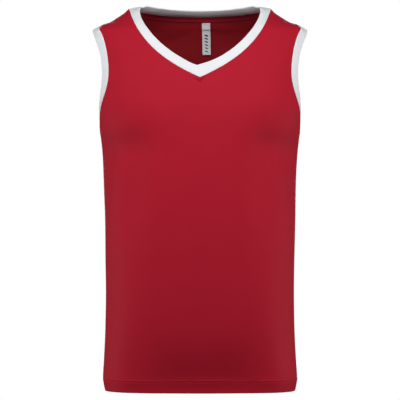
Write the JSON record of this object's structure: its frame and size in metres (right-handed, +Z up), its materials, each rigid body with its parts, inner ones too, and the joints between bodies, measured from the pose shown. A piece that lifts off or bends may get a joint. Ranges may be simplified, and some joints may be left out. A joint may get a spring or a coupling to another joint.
{
  "type": "basketball jersey",
  "caption": "Sleeveless basketball jersey with a V neck and contrast bands at neck and armholes, filled out and open at neck, armholes and hem.",
  "frame": {"origin": "midway between the shoulders, level with the shoulder seams, where a wearer holds the jersey up", "axes": "+Z up, front faces -Y, the garment's own left side at +X"},
  "size_m": [0.41, 0.2625, 0.7339],
  "materials": {
    "body_knit": "smooth fine polyester knit, soft sheen",
    "band_rib": "matt white folded knit band",
    "neck_tape": "flat red tape",
    "label": "satin woven label"
  },
  "bodies": {
    "root": {"front_panel": "body_knit", "back_panel": "body_knit", "neck_band": "band_rib", "armhole_band_left": "band_rib", "armhole_band_right": "band_rib", "neck_tape": "neck_tape", "main_label": "label", "size_label": "label"}
  },
  "joints": []
}
